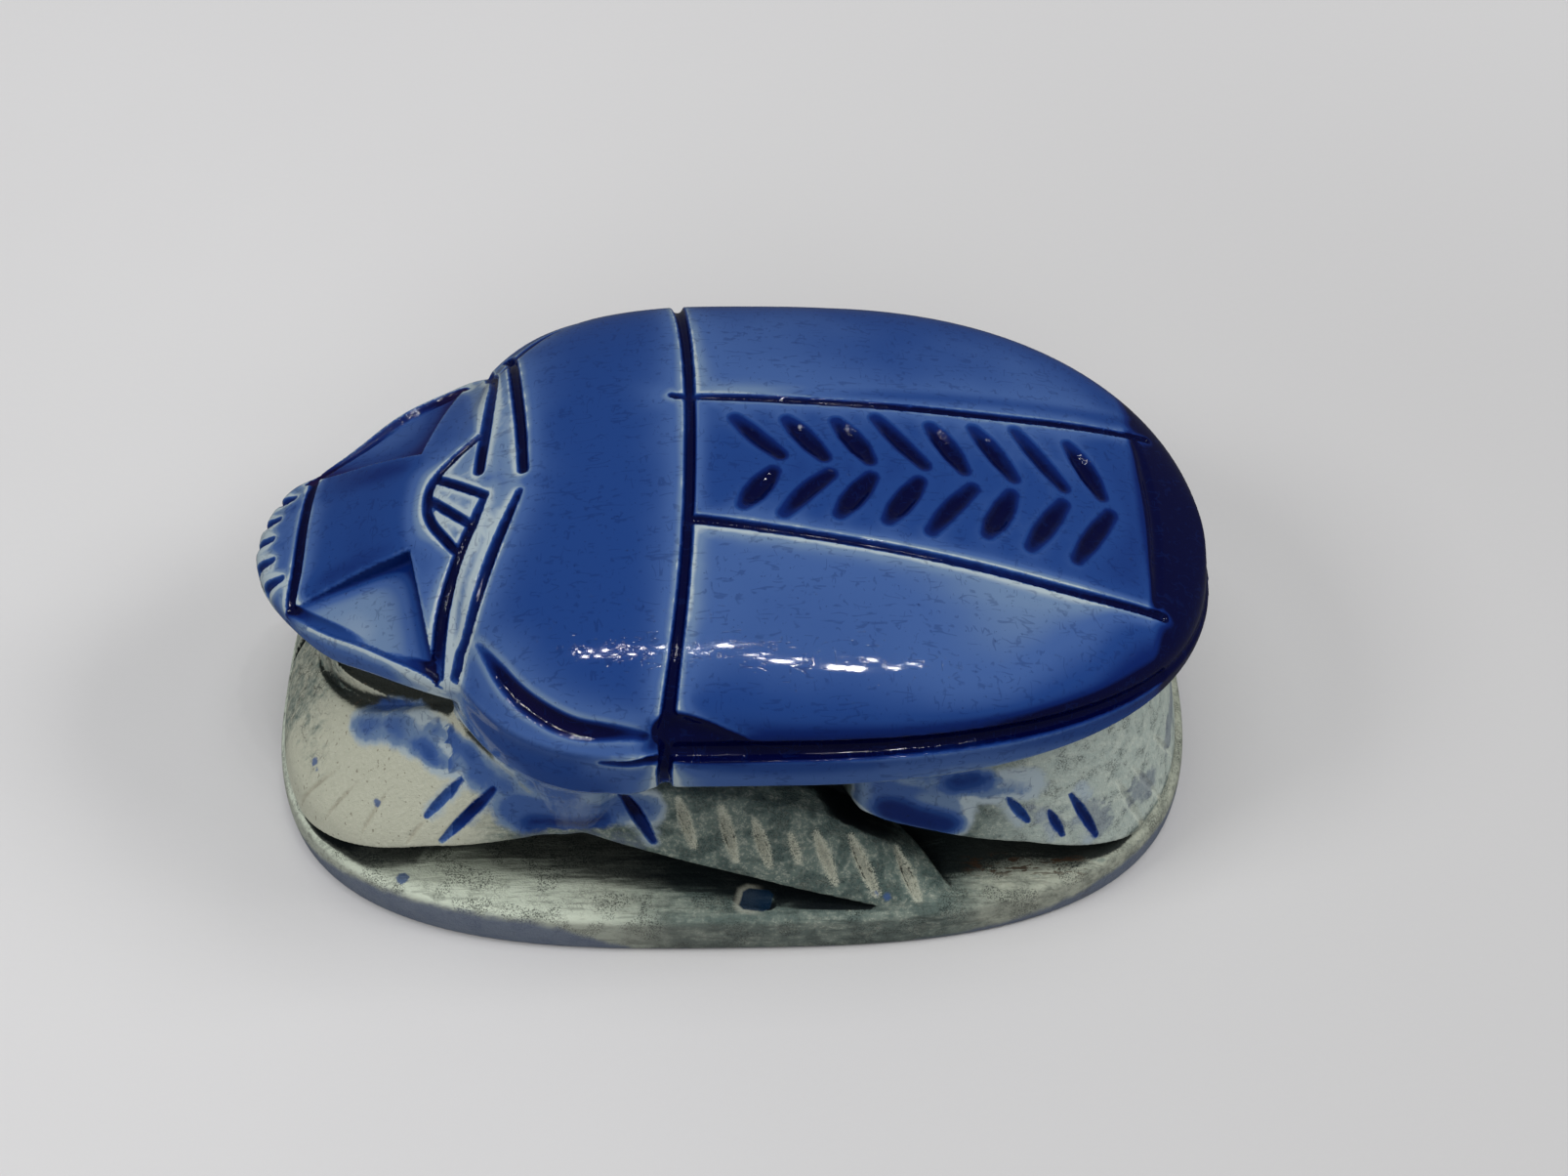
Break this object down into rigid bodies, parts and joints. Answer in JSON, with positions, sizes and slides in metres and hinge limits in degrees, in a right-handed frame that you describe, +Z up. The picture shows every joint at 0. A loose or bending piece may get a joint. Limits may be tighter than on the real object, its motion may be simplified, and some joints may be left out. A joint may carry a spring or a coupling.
{
  "type": "scarab amulet",
  "caption": "Glazed stone scarab on a flat oval base, with a domed back, a wedge-shaped head, legs folded along the rim and a panel of shallow strokes between the wing bands.",
  "frame": {"origin": "centre of the underside's bounding box, on the resting plane", "axes": "+Z up out of the back, +X towards the tail, so the nose points to -X"},
  "size_m": [0.0901, 0.061, 0.0351],
  "materials": {
    "glazed_stone": "glossy cobalt glaze with fine crackle, pooled dark in the grooves and missing from the legs and the base"
  },
  "bodies": {
    "root": {"scarab": "glazed_stone"}
  },
  "joints": []
}
